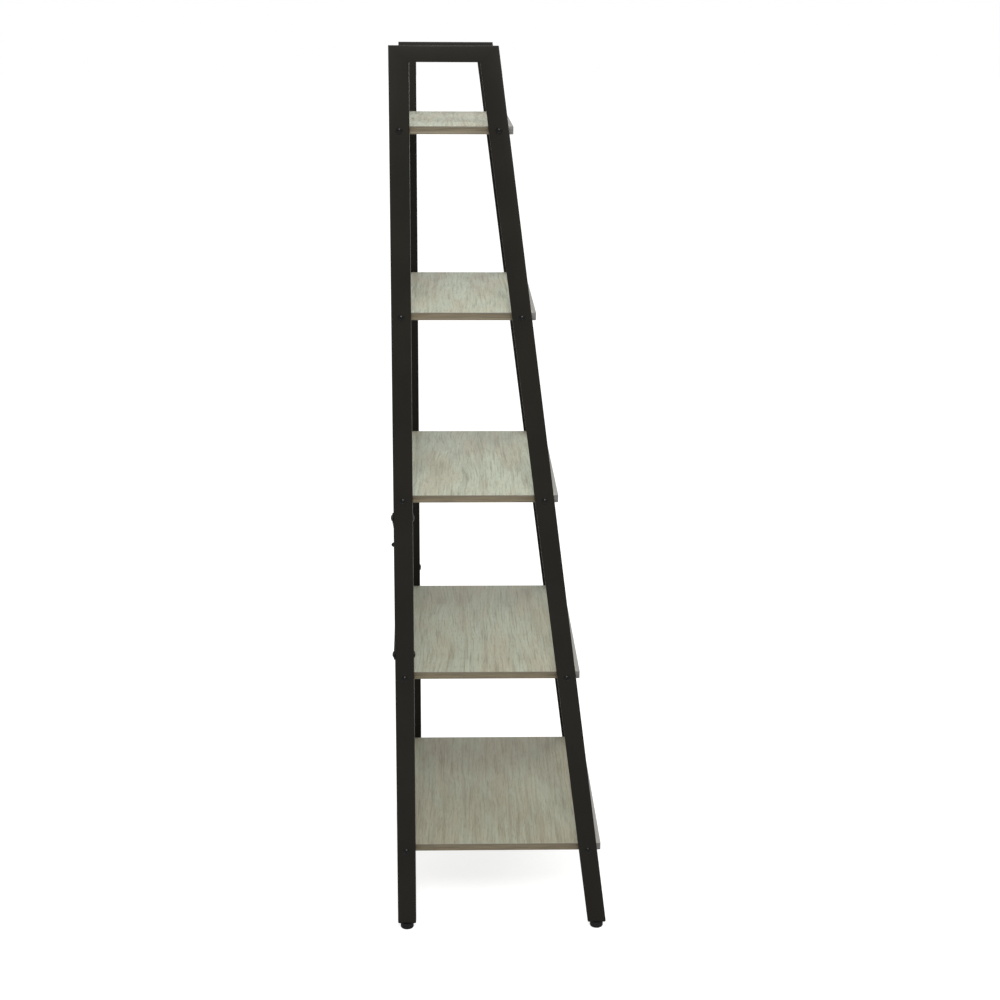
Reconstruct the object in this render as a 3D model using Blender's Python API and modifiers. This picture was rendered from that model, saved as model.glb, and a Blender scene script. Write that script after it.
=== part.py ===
"""Ladder shelf: two welded side frames, five boards bolted between them, a crossed back brace, screw-in feet.

Metres, +Z up, front towards -Y. The origin is on the floor under the middle of the whole shelf.
Depths are measured forwards from the rear face of the posts, heights from the floor.
"""

import math

import bmesh
import bpy
from mathutils import Matrix, Vector

# Overall sizes
WIDTH = 0.600
HEIGHT = 1.800
FOOT_DEPTH = 0.436
TOP_DEPTH = 0.204

# Fits
GAP = 0.0003
BOLT_HOLE_PLAY = 0.0003
RUNNING_PLAY = 0.0003

# Steel tube of the side frames
TUBE_WIDTH = 0.020
TUBE_DEPTH = 0.038
TOP_BAR_HEIGHT = 0.030
TUBE_WALL = 0.0015
TUBE_CORNER = 0.0025
TUBE_CORNER_STEPS = 3

# Boards
BOARD_COUNT = 5
BOARD_THICKNESS = 0.015
LOWEST_BOARD_TOP = 0.184
TOP_BOARD_DROP = 0.147
BAY_TRIMS = (0.014, 0.004, -0.003, -0.015)
BOARD_NOSE = 0.0085
BOARD_CORNER = 0.003
BOARD_HOLE_RADIUS = 0.0045
BOARD_HOLE_DEPTH = 0.024

# Button-head bolts
BOLT_RADIUS = 0.003
HEAD_RADIUS = 0.0066
HEAD_HEIGHT = 0.0033
HEAD_RIM = 0.0008
SOCKET_WIDTH = 0.004
SOCKET_DEPTH = 0.0017
SHELF_BOLT_LENGTH = 0.040
BRACE_BOLT_LENGTH = 0.034
BOLT_TIP = 0.0006

# Crossed back brace
STRAP_WIDTH = 0.020
STRAP_THICKNESS = 0.002
STRAP_CORNER = 0.0085
STRAP_OVERHANG = 0.010
STRAP_STEPS = 24
INNER_STRAP_BOW = 0.0025
BRACE_BAY = 1
BRACE_TOP_DROP = 0.028
BRACE_BOTTOM_RISE = 0.042

# Sleeve nuts on the brace's end bolts
SLEEVE_HEAD_RADIUS = 0.007
SLEEVE_HEAD_HEIGHT = 0.0028
SLEEVE_LENGTH = 0.018
SLEEVE_WALL = 0.001
SLEEVE_BORE_DEPTH = 0.0172

# Cap nut on the brace's centre bolt
CAP_NUT_WIDTH = 0.010
CAP_NUT_HEX_HEIGHT = 0.005
CAP_NUT_HEIGHT = 0.009
CAP_NUT_DOME_RADIUS = 0.0046
CAP_NUT_BORE_DEPTH = 0.0065
CENTRE_BOLT_REACH = 0.0055

# Levelling feet
PAD_RADIUS = 0.01375
PAD_HEIGHT = 0.0127
PAD_LOWER_ROUND = 0.003
PAD_UPPER_ROUND = 0.001
PAD_BASE = 0.003
STEM_RADIUS = 0.004
STEM_RISE = 0.028
STEM_HEAD_RADIUS = 0.007
STEM_HEAD_HEIGHT = 0.0034
STEM_TIP = 0.001
PLUG_FLANGE = 0.002
PLUG_BODY = 0.022
FLANGE_INSET = 0.0004

TURNED_STEPS = 12
SAME_POINT = 0.00001
CUT_OVERRUN = 0.003
CUT_SPARE = 0.02
TRIM_BLOCK = 0.25

# Worked-out sizes
FLANGE_BOTTOM = PAD_HEIGHT + GAP
TUBE_END = FLANGE_BOTTOM + PLUG_FLANGE + GAP
LEG_SLOPE = (FOOT_DEPTH - TOP_DEPTH) / (HEIGHT - TUBE_END)
LEG_LEAN = math.atan(LEG_SLOPE)
LEG_LEVEL_DEPTH = TUBE_DEPTH / math.cos(LEG_LEAN)
FRAME_CENTRE_X = (WIDTH - TUBE_WIDTH) / 2
INSIDE_X = WIDTH / 2 - TUBE_WIDTH
BOLT_HOLE_RADIUS = BOLT_RADIUS + BOLT_HOLE_PLAY
INNER_STRAP_REST = GAP
OUTER_STRAP_BOW = INNER_STRAP_BOW + STRAP_THICKNESS + GAP
CAP_NUT_SEAT = GAP + OUTER_STRAP_BOW + STRAP_THICKNESS + GAP
BRACE_REACH = CAP_NUT_SEAT + CAP_NUT_HEIGHT
REAR_Y = (FOOT_DEPTH - BRACE_REACH) / 2
SLEEVE_BORE_RADIUS = BOLT_RADIUS + BOLT_HOLE_PLAY
SLEEVE_RADIUS = SLEEVE_BORE_RADIUS + SLEEVE_WALL
SLEEVE_HOLE_RADIUS = SLEEVE_RADIUS + BOLT_HOLE_PLAY

SIDES = {"left": -1, "right": 1}


def clear_scene():
    for obj in list(bpy.data.objects):
        bpy.data.objects.remove(obj, do_unlink=True)


def new_collection(name):
    collection = bpy.data.collections.new(name)
    bpy.context.scene.collection.children.link(collection)
    return collection


def material(name, color, roughness, metallic):
    made = bpy.data.materials.new(name)
    made.use_nodes = True
    shader = made.node_tree.nodes["Principled BSDF"]
    shader.inputs["Base Color"].default_value = (*color, 1.0)
    shader.inputs["Roughness"].default_value = roughness
    shader.inputs["Metallic"].default_value = metallic
    return made


def mesh_object(name, bm, collection):
    mesh = bpy.data.meshes.new(name)
    bm.to_mesh(mesh)
    bm.free()
    obj = bpy.data.objects.new(name, mesh)
    collection.objects.link(obj)
    return obj


def place_y(depth):
    """The world Y of a depth measured forwards from the rear face of the posts."""
    return REAR_Y - depth


def leg_front(height):
    return TOP_DEPTH + LEG_SLOPE * (HEIGHT - height)


def leg_centre(height):
    return leg_front(height) - LEG_LEVEL_DEPTH / 2


def board_tops():
    """Board top heights from the lowest up: an average bay, with a trim for each."""
    average = (HEIGHT - TOP_BOARD_DROP - LOWEST_BOARD_TOP) / (BOARD_COUNT - 1)
    tops = [LOWEST_BOARD_TOP]
    for trim in BAY_TRIMS:
        tops.append(tops[-1] + average + trim)
    return tops


def bolt_depths(height):
    """The rear and front bolt lines of a board, on the middles of the post and the leg."""
    return {"rear": TUBE_DEPTH / 2, "front": leg_centre(height)}


def foot_depth(end):
    return leg_centre(TUBE_END) if end == "front" else TUBE_DEPTH / 2


def brace_heights():
    """The upper and lower bolt lines of the back brace, in the bay that it closes."""
    tops = board_tops()
    upper = tops[BRACE_BAY + 1] - BOARD_THICKNESS - BRACE_TOP_DROP
    lower = tops[BRACE_BAY] + BRACE_BOTTOM_RISE
    return {"upper": upper, "lower": lower}


def add_block(bm, size, matrix):
    bmesh.ops.create_cube(bm, size=1.0, matrix=matrix @ Matrix.Diagonal((*size, 1.0)))


def add_cylinder(bm, radius, length, centre, axis, steps=TURNED_STEPS):
    turn = Vector((0, 0, 1)).rotation_difference(Vector(axis)).to_matrix().to_4x4()
    bmesh.ops.create_cone(
        bm, cap_ends=True, segments=steps, radius1=radius, radius2=radius, depth=length,
        matrix=Matrix.Translation(centre) @ turn,
    )


def add_trim_block(bm, point, normal):
    """A large block whose one face passes through the point, and which lies on the normal's side."""
    normal = Vector(normal).normalized()
    turn = Vector((0, 0, 1)).rotation_difference(normal).to_matrix().to_4x4()
    centre = Vector(point) + normal * TRIM_BLOCK / 2
    add_block(bm, (TRIM_BLOCK,) * 3, Matrix.Translation(centre) @ turn)


def cut_with(obj, cutter_bm, cutters):
    cutter = mesh_object("cut_" + obj.name, cutter_bm, cutters)
    cutter.hide_render = True
    cutter.display_type = "WIRE"
    boolean = obj.modifiers.new("cuts", "BOOLEAN")
    boolean.operation = "DIFFERENCE"
    boolean.solver = "EXACT"
    boolean.object = cutter


def join_with(obj, joined_bm, cutters):
    joined = mesh_object("join_" + obj.name, joined_bm, cutters)
    joined.hide_render = True
    joined.display_type = "WIRE"
    boolean = obj.modifiers.new("join", "BOOLEAN")
    boolean.operation = "UNION"
    boolean.solver = "EXACT"
    boolean.object = joined


def finished_mesh(obj):
    """The object's mesh with its modifiers applied; the object itself is removed."""
    bpy.context.view_layer.update()
    graph = bpy.context.evaluated_depsgraph_get()
    mesh = bpy.data.meshes.new_from_object(obj.evaluated_get(graph))
    mesh.shade_smooth()
    mesh.set_sharp_from_angle(angle=math.radians(30))
    bpy.data.objects.remove(obj, do_unlink=True)
    return mesh


def turned_object(name, profile, collection):
    """A solid of revolution about local Z. The profile is (radius, height) points from top to bottom."""
    bm = bmesh.new()
    points = [bm.verts.new((radius, 0.0, height)) for radius, height in profile]
    for upper, lower in zip(points, points[1:]):
        bm.edges.new((upper, lower))
    obj = mesh_object(name, bm, collection)
    screw = obj.modifiers.new("turn", "SCREW")
    screw.steps = TURNED_STEPS
    screw.render_steps = TURNED_STEPS
    screw.use_merge_vertices = True
    screw.merge_threshold = SAME_POINT
    return obj


def dome(radius, rim, height, steps=4):
    """Profile points of a shallow dome on a rim, from its crown outwards."""
    rise = height - rim
    ball = (radius**2 + rise**2) / (2 * rise)
    points = []
    for i in range(steps + 1):
        r = radius * i / steps
        points.append((r, rim + math.sqrt(ball**2 - r**2) - (ball - rise)))
    return points


def rounded_bar(width, depth, length, corner, steps, capped):
    """A bar along local Z with rounded long edges, open or closed at its ends."""
    bm = bmesh.new()
    bmesh.ops.create_cube(bm, size=1.0, matrix=Matrix.Diagonal((width, depth, length, 1.0)))
    if not capped:
        ends = [face for face in bm.faces if abs(face.normal.z) > 0.5]
        bmesh.ops.delete(bm, geom=ends, context="FACES")
    upright = [e for e in bm.edges if abs((e.verts[0].co - e.verts[1].co).z) > length / 2]
    bmesh.ops.bevel(bm, geom=upright, offset=corner, segments=steps, profile=0.5, affect="EDGES")
    return bm


# Side frames


def frame_tube(name, depth, length, x, depth_at, height_at, turn, parts, paint):
    """A rectangular tube, open at both ends, centred on a point of the side plane."""
    bm = rounded_bar(TUBE_WIDTH, depth, length, TUBE_CORNER, TUBE_CORNER_STEPS, capped=False)
    obj = mesh_object(name, bm, parts)
    obj.location = (x, place_y(depth_at), height_at)
    obj.rotation_euler = (turn, 0.0, 0.0)
    wall = obj.modifiers.new("wall", "SOLIDIFY")
    wall.thickness = TUBE_WALL
    wall.offset = -1.0
    wall.use_even_offset = True
    obj.data.materials.append(paint)
    return obj


def mitre_planes():
    """A point and the direction along each mitre, in (depth, height), rear corner then front corner."""
    inner_height = HEIGHT - TOP_BAR_HEIGHT
    rear = (Vector((0.0, HEIGHT)), Vector((TUBE_DEPTH, inner_height)))
    front_inner = leg_front(inner_height) - LEG_LEVEL_DEPTH
    front = (Vector((TOP_DEPTH, HEIGHT)), Vector((front_inner, inner_height)))
    return {"rear": rear, "front": front}


def add_mitre_cut(bm, x, corner, keep):
    """Trims one side of a mitre. The point `keep`, in (depth, height), is on the side that stays."""
    outer, inner = mitre_planes()[corner]
    along = (inner - outer).normalized()
    normal = Vector((-along.y, along.x))
    if normal.dot(Vector(keep) - outer) > 0:
        normal = -normal
    point = outer - normal * GAP / 2
    add_trim_block(bm, (x, place_y(point.x), point.y), (0.0, -normal.x, normal.y))


def add_shelf_bolt_holes(bm, x, end):
    for top in board_tops():
        height = top - BOARD_THICKNESS / 2
        centre = (x, place_y(bolt_depths(height)[end]), height)
        add_cylinder(bm, BOLT_HOLE_RADIUS, TUBE_WIDTH + 2 * CUT_OVERRUN, centre, (1, 0, 0))


def add_brace_bolt_holes(bm, x):
    """Rear wall drilled for the bolt, front wall for the sleeve nut."""
    length = TUBE_WALL + 2 * CUT_OVERRUN
    for height in brace_heights().values():
        rear = (x, place_y(TUBE_WALL / 2), height)
        front = (x, place_y(TUBE_DEPTH - TUBE_WALL / 2), height)
        add_cylinder(bm, BOLT_HOLE_RADIUS, length, rear, (0, 1, 0))
        add_cylinder(bm, SLEEVE_HOLE_RADIUS, length, front, (0, 1, 0))


def side_frame(side, parts, cutters, paint):
    x = SIDES[side] * FRAME_CENTRE_X
    mid_height = (HEIGHT + TUBE_END) / 2

    post = frame_tube(
        side + "_rear_post", TUBE_DEPTH, HEIGHT - TUBE_END + CUT_SPARE, x, TUBE_DEPTH / 2, mid_height,
        0.0, parts, paint,
    )
    cuts = bmesh.new()
    add_mitre_cut(cuts, x, "rear", (TUBE_DEPTH / 2, 0.0))
    add_trim_block(cuts, (x, place_y(foot_depth("rear")), TUBE_END), (0, 0, -1))
    add_shelf_bolt_holes(cuts, x, "rear")
    add_brace_bolt_holes(cuts, x)
    cut_with(post, cuts, cutters)

    leg_length = (HEIGHT - TUBE_END) / math.cos(LEG_LEAN) + 2 * CUT_SPARE
    leg = frame_tube(
        side + "_front_leg", TUBE_DEPTH, leg_length, x, leg_centre(mid_height), mid_height,
        -LEG_LEAN, parts, paint,
    )
    cuts = bmesh.new()
    add_mitre_cut(cuts, x, "front", (leg_centre(0.0), 0.0))
    add_trim_block(cuts, (x, place_y(foot_depth("front")), TUBE_END), (0, 0, -1))
    add_shelf_bolt_holes(cuts, x, "front")
    cut_with(leg, cuts, cutters)

    bar = frame_tube(
        side + "_top_bar", TOP_BAR_HEIGHT, TOP_DEPTH + CUT_SPARE, x, TOP_DEPTH / 2,
        HEIGHT - TOP_BAR_HEIGHT / 2, -math.pi / 2, parts, paint,
    )
    cuts = bmesh.new()
    middle = (TOP_DEPTH / 2, HEIGHT)
    add_mitre_cut(cuts, x, "rear", middle)
    add_mitre_cut(cuts, x, "front", middle)
    cut_with(bar, cuts, cutters)


# Boards


def shelf_board(number, top, parts, cutters, laminate):
    """A board between the side frames, flush with the posts behind and just past the legs in front."""
    middle = top - BOARD_THICKNESS / 2
    depth = leg_front(middle) + BOARD_NOSE
    length = 2 * (INSIDE_X - GAP)
    bm = bmesh.new()
    add_block(bm, (length, depth, BOARD_THICKNESS), Matrix.Identity(4))
    front_corners = [
        e for e in bm.edges
        if abs((e.verts[0].co - e.verts[1].co).z) > BOARD_THICKNESS / 2 and e.verts[0].co.y < 0
    ]
    bmesh.ops.bevel(bm, geom=front_corners, offset=BOARD_CORNER, segments=3, profile=0.5, affect="EDGES")
    obj = mesh_object(f"shelf_board_{number}", bm, parts)
    obj.location = (0.0, place_y(depth / 2), middle)
    obj.data.materials.append(laminate)

    cuts = bmesh.new()
    for sign in SIDES.values():
        for bolt_depth in bolt_depths(middle).values():
            x = sign * (length / 2 - BOARD_HOLE_DEPTH / 2 + CUT_OVERRUN / 2)
            centre = (x, place_y(bolt_depth), middle)
            add_cylinder(cuts, BOARD_HOLE_RADIUS, BOARD_HOLE_DEPTH + CUT_OVERRUN, centre, (1, 0, 0))
    cut_with(obj, cuts, cutters)


# Fasteners


def bolt_mesh(name, length, parts, cutters):
    """A button-head bolt with a hexagon socket. The head's underside is at local Z = 0."""
    profile = dome(HEAD_RADIUS, HEAD_RIM, HEAD_HEIGHT) + [
        (HEAD_RADIUS, 0.0),
        (BOLT_RADIUS, 0.0),
        (BOLT_RADIUS, BOLT_TIP - length),
        (BOLT_RADIUS - BOLT_TIP, -length),
        (0.0, -length),
    ]
    obj = turned_object(name, profile, parts)
    socket = bmesh.new()
    centre = (0.0, 0.0, HEAD_HEIGHT - SOCKET_DEPTH + CUT_OVERRUN / 2)
    add_cylinder(socket, SOCKET_WIDTH / math.sqrt(3), CUT_OVERRUN, centre, (0, 0, 1), steps=6)
    cut_with(obj, socket, cutters)
    return finished_mesh(obj)


def fit_piece(name, mesh, location, axis, parts, finish):
    """One copy of a turned piece, its local Z turned to the axis."""
    obj = bpy.data.objects.new(name, mesh)
    parts.objects.link(obj)
    obj.location = location
    obj.rotation_euler = Vector((0, 0, 1)).rotation_difference(Vector(axis)).to_euler()
    if not mesh.materials:
        mesh.materials.append(finish)
    return obj


def shelf_bolts(parts, cutters, black):
    mesh = bolt_mesh("shelf_bolt", SHELF_BOLT_LENGTH, parts, cutters)
    seat_x = WIDTH / 2 + GAP
    for number, top in enumerate(board_tops(), start=1):
        height = top - BOARD_THICKNESS / 2
        for side, sign in SIDES.items():
            for end, depth in bolt_depths(height).items():
                name = f"shelf_bolt_{number}_{side}_{end}"
                fit_piece(name, mesh, (sign * seat_x, place_y(depth), height), (sign, 0, 0), parts, black)


def sleeve_nut_mesh(parts, cutters):
    """A domed head on a sleeve with a blind bore. The head's underside is at local Z = 0."""
    profile = dome(SLEEVE_HEAD_RADIUS, HEAD_RIM, SLEEVE_HEAD_HEIGHT) + [
        (SLEEVE_HEAD_RADIUS, 0.0),
        (SLEEVE_RADIUS, 0.0),
        (SLEEVE_RADIUS, -SLEEVE_LENGTH),
        (SLEEVE_BORE_RADIUS, -SLEEVE_LENGTH),
        (SLEEVE_BORE_RADIUS, SLEEVE_BORE_DEPTH - SLEEVE_LENGTH),
        (0.0, SLEEVE_BORE_DEPTH - SLEEVE_LENGTH),
    ]
    obj = turned_object("sleeve_nut", profile, parts)
    socket = bmesh.new()
    centre = (0.0, 0.0, SLEEVE_HEAD_HEIGHT - SOCKET_DEPTH + CUT_OVERRUN / 2)
    add_cylinder(socket, SOCKET_WIDTH / math.sqrt(3), CUT_OVERRUN, centre, (0, 0, 1), steps=6)
    cut_with(obj, socket, cutters)
    return finished_mesh(obj)


def cap_nut(parts, cutters, black):
    """A hexagon nut with a domed cap, its open face at local Z = 0."""
    steps = 5
    base = CAP_NUT_HEX_HEIGHT - 0.001
    crown = CAP_NUT_HEIGHT - CAP_NUT_DOME_RADIUS
    cap = []
    for i in range(steps + 1):
        angle = math.pi / 2 * (1 - i / steps)
        cap.append((CAP_NUT_DOME_RADIUS * math.cos(angle), crown + CAP_NUT_DOME_RADIUS * math.sin(angle)))
    cap[0] = (0.0, CAP_NUT_HEIGHT)
    cap += [(CAP_NUT_DOME_RADIUS, base), (0.0, base)]
    obj = turned_object("brace_cap_nut", cap, parts)
    hexagon = bmesh.new()
    centre = (0.0, 0.0, CAP_NUT_HEX_HEIGHT / 2)
    add_cylinder(hexagon, CAP_NUT_WIDTH / math.sqrt(3), CAP_NUT_HEX_HEIGHT, centre, (0, 0, 1), steps=6)
    join_with(obj, hexagon, cutters)
    bore = bmesh.new()
    length = CAP_NUT_BORE_DEPTH + CUT_OVERRUN
    centre = (0.0, 0.0, CAP_NUT_BORE_DEPTH - length / 2)
    add_cylinder(bore, BOLT_HOLE_RADIUS, length, centre, (0, 0, 1))
    cut_with(obj, bore, cutters)
    mesh = finished_mesh(obj)
    height = sum(brace_heights().values()) / 2
    fit_piece("brace_cap_nut", mesh, (0.0, place_y(-CAP_NUT_SEAT), height), (0, 1, 0), parts, black)


# Back brace


def strap(name, left_end, right_end, bow, parts, cutters, paint):
    """A flat steel strap between two bolt lines, bowed backwards between the posts."""
    heights = brace_heights()
    left = Vector((-FRAME_CENTRE_X, 0.0, heights[left_end]))
    right = Vector((FRAME_CENTRE_X, 0.0, heights[right_end]))
    along = (right - left).normalized()
    reach = (right - left).length / 2 + STRAP_OVERHANG
    bm = bmesh.new()
    bmesh.ops.create_grid(bm, x_segments=STRAP_STEPS, y_segments=1, size=1.0)
    bmesh.ops.scale(bm, verts=bm.verts, vec=(reach, STRAP_WIDTH / 2, 1.0))
    corners = [v for v in bm.verts if abs(v.co.x) > reach - SAME_POINT]
    bmesh.ops.bevel(bm, geom=corners, offset=STRAP_CORNER, segments=4, profile=0.5, affect="VERTICES")
    free_half = INSIDE_X / along.x - STRAP_WIDTH / 2
    for vert in bm.verts:
        share = min(abs(vert.co.x) / free_half, 1.0)
        vert.co.z = bow * math.cos(share * math.pi / 2) ** 2
    obj = mesh_object(name, bm, parts)
    basis = Matrix((along, Vector((0, 1, 0)).cross(along), Vector((0, 1, 0)))).transposed()
    seat = Vector((0.0, place_y(-INNER_STRAP_REST), sum(heights.values()) / 2))
    obj.matrix_world = Matrix.Translation(seat) @ basis.to_4x4()
    thick = obj.modifiers.new("thickness", "SOLIDIFY")
    thick.thickness = STRAP_THICKNESS
    thick.offset = 1.0
    obj.data.materials.append(paint)
    cuts = bmesh.new()
    for x, height in ((left.x, left.z), (right.x, right.z), (0.0, seat.z)):
        add_cylinder(cuts, BOLT_HOLE_RADIUS, 2 * CUT_SPARE, (x, seat.y, height), (0, 1, 0))
    cut_with(obj, cuts, cutters)


def brace(parts, cutters, paint, black):
    strap("brace_strap_inner", "upper", "lower", INNER_STRAP_BOW, parts, cutters, paint)
    strap("brace_strap_outer", "lower", "upper", OUTER_STRAP_BOW, parts, cutters, paint)
    bolt = bolt_mesh("brace_bolt", BRACE_BOLT_LENGTH, parts, cutters)
    nut = sleeve_nut_mesh(parts, cutters)
    bolt_seat = place_y(-(GAP + STRAP_THICKNESS + GAP))
    nut_seat = place_y(TUBE_DEPTH + GAP)
    for side, sign in SIDES.items():
        for level, height in brace_heights().items():
            x = sign * FRAME_CENTRE_X
            fit_piece(f"brace_bolt_{side}_{level}", bolt, (x, bolt_seat, height), (0, 1, 0), parts, black)
            fit_piece(f"sleeve_nut_{side}_{level}", nut, (x, nut_seat, height), (0, -1, 0), parts, black)

    head_seat = INNER_STRAP_BOW
    centre_length = CAP_NUT_SEAT - head_seat + CENTRE_BOLT_REACH
    centre_bolt = bolt_mesh("centre_bolt", centre_length, parts, cutters)
    height = sum(brace_heights().values()) / 2
    fit_piece("brace_centre_bolt", centre_bolt, (0.0, place_y(-head_seat), height), (0, -1, 0), parts, black)
    cap_nut(parts, cutters, black)


# Feet


def quarter_round(radius_at, height_at, size, start, steps=3):
    """Points of a quarter circle about a corner's centre, turning clockwise from the start angle."""
    points = []
    for i in range(steps + 1):
        angle = start - math.pi / 2 * i / steps
        points.append((radius_at + size * math.cos(angle), height_at + size * math.sin(angle)))
    return points


def pad_mesh(parts):
    """A round glide with a pocket that holds the stem's head. The floor is at local Z = 0."""
    neck = STEM_RADIUS + RUNNING_PLAY
    pocket = STEM_HEAD_RADIUS + RUNNING_PLAY
    pocket_top = PAD_BASE + STEM_HEAD_HEIGHT + 2 * GAP
    profile = [(0.0, PAD_BASE), (pocket, PAD_BASE), (pocket, pocket_top), (neck, pocket_top)]
    profile += [(neck, PAD_HEIGHT)]
    profile += quarter_round(
        PAD_RADIUS - PAD_UPPER_ROUND, PAD_HEIGHT - PAD_UPPER_ROUND, PAD_UPPER_ROUND, math.pi / 2
    )
    profile += quarter_round(PAD_RADIUS - PAD_LOWER_ROUND, PAD_LOWER_ROUND, PAD_LOWER_ROUND, 0.0)
    profile += [(0.0, 0.0)]
    return finished_mesh(turned_object("foot_pad", profile, parts))


def stem_mesh(parts):
    """A threaded stem on a round head. The head's underside is at local Z = 0."""
    top = STEM_HEAD_HEIGHT + STEM_RISE
    profile = [
        (0.0, top),
        (STEM_RADIUS - STEM_TIP, top),
        (STEM_RADIUS, top - STEM_TIP),
        (STEM_RADIUS, STEM_HEAD_HEIGHT),
        (STEM_HEAD_RADIUS, STEM_HEAD_HEIGHT),
        (STEM_HEAD_RADIUS, 0.0),
        (0.0, 0.0),
    ]
    return finished_mesh(turned_object("foot_stem", profile, parts))


def tube_plug(name, x, end, parts, cutters, plastic):
    """A moulded insert in the tube's end, with a flange under it and an upright bore for the stem."""
    lean = LEG_LEAN if end == "front" else 0.0
    level_depth = TUBE_DEPTH / math.cos(lean)
    play = TUBE_WALL + GAP
    body_top = TUBE_END + PLUG_BODY
    body_middle = (FLANGE_BOTTOM + body_top) / 2
    foot = foot_depth(end)
    body_depth = leg_centre(body_middle) if end == "front" else TUBE_DEPTH / 2

    flange = rounded_bar(
        TUBE_WIDTH - 2 * FLANGE_INSET, level_depth - 2 * FLANGE_INSET, PLUG_FLANGE,
        TUBE_CORNER, TUBE_CORNER_STEPS, capped=True,
    )
    obj = mesh_object(name, flange, parts)
    obj.location = (x, place_y(foot), FLANGE_BOTTOM + PLUG_FLANGE / 2)
    obj.data.materials.append(plastic)

    body = rounded_bar(
        TUBE_WIDTH - 2 * play, TUBE_DEPTH - 2 * play, PLUG_BODY + CUT_SPARE, TUBE_CORNER - TUBE_WALL, 1,
        capped=True,
    )
    place = Matrix.Translation((x, place_y(body_depth), body_middle)) @ Matrix.Rotation(-lean, 4, "X")
    bmesh.ops.transform(body, matrix=place, verts=body.verts)
    for height, clear_outer in ((FLANGE_BOTTOM + PLUG_FLANGE / 2, False), (body_top, True)):
        cut = bmesh.ops.bisect_plane(
            body, geom=body.verts[:] + body.edges[:] + body.faces[:], plane_co=(0, 0, height),
            plane_no=(0, 0, 1), clear_outer=clear_outer, clear_inner=not clear_outer,
        )
        rim = [item for item in cut["geom_cut"] if isinstance(item, bmesh.types.BMEdge)]
        bmesh.ops.contextual_create(body, geom=rim)
    bmesh.ops.recalc_face_normals(body, faces=body.faces)
    join_with(obj, body, cutters)

    bore = bmesh.new()
    length = PLUG_BODY + PLUG_FLANGE + 2 * CUT_OVERRUN
    centre = (x, place_y(foot), FLANGE_BOTTOM - CUT_OVERRUN + length / 2)
    add_cylinder(bore, STEM_RADIUS + RUNNING_PLAY, length, centre, (0, 0, 1))
    cut_with(obj, bore, cutters)


def feet(parts, cutters, plastic, steel):
    pad = pad_mesh(parts)
    stem = stem_mesh(parts)
    for side, sign in SIDES.items():
        for end in ("rear", "front"):
            x = sign * FRAME_CENTRE_X
            y = place_y(foot_depth(end))
            fit_piece(f"foot_pad_{side}_{end}", pad, (x, y, 0.0), (0, 0, 1), parts, plastic)
            fit_piece(f"foot_stem_{side}_{end}", stem, (x, y, PAD_BASE + GAP), (0, 0, 1), parts, steel)
            tube_plug(f"tube_plug_{side}_{end}", x, end, parts, cutters, plastic)


def main():
    clear_scene()
    parts = new_collection("ladder_shelf")
    cutters = new_collection("cutters")
    paint = material("black_powder_coat", (0.021, 0.020, 0.018), 0.45, 0.1)
    laminate = material("grey_oak_laminate", (0.36, 0.34, 0.28), 0.6, 0.0)
    black = material("black_zinc", (0.018, 0.018, 0.017), 0.35, 0.8)
    plastic = material("black_plastic", (0.015, 0.015, 0.015), 0.55, 0.0)
    steel = material("zinc_plate", (0.55, 0.55, 0.53), 0.3, 1.0)
    for side in SIDES:
        side_frame(side, parts, cutters, paint)
    for number, top in enumerate(board_tops(), start=1):
        shelf_board(number, top, parts, cutters, laminate)
    shelf_bolts(parts, cutters, black)
    brace(parts, cutters, paint, black)
    feet(parts, cutters, plastic, steel)


main()
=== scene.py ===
"""Looks of the ladder shelf: welded tube side frames, laminate boards, bolts, back brace and levelling feet.

Metres, +Z up, front towards -Y, left side at -X. Every place comes from the packed frame.
"""

import math
from functools import partialmethod

import bmesh
import bpy
from bpy.props import FloatProperty, FloatVectorProperty, IntProperty, PointerProperty
from mathutils import Matrix, Vector


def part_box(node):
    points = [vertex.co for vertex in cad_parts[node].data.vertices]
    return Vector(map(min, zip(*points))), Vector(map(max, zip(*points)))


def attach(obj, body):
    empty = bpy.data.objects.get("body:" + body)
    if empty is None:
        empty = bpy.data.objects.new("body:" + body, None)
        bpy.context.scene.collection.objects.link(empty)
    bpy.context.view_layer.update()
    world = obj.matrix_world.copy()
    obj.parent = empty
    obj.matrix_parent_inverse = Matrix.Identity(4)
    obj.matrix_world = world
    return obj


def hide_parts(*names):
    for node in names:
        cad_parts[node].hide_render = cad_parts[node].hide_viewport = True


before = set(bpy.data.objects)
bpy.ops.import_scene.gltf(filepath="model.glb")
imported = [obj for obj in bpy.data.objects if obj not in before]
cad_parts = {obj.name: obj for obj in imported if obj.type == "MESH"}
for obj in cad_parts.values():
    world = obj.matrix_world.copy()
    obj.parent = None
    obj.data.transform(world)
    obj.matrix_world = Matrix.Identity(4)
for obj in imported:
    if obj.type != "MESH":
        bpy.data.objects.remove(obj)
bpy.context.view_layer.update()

bl_info = {
    "name": "Ladder shelf",
    "version": (1, 0, 0),
    "blender": (4, 5, 0),
    "location": "3D View > Sidebar > Ladder shelf",
    "description": "Builds the visible pieces of a ladder shelf around its packed frame",
    "category": "Object",
}

SIDES = {"left": -1, "right": 1}
ENDS = ("rear", "front")
BOARD_NUMBERS = range(1, 6)
LEVELS = ("upper", "lower")

SAME_POINT = 0.000001
HOLE_SIDES = 24
SMALLEST_CORNER = 0.0004
GROWTH_LINE_SPACING = 0.0078
ROUND_FACE_WIDTH = 0.0013
SHARP_FROM = math.radians(40)

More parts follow.
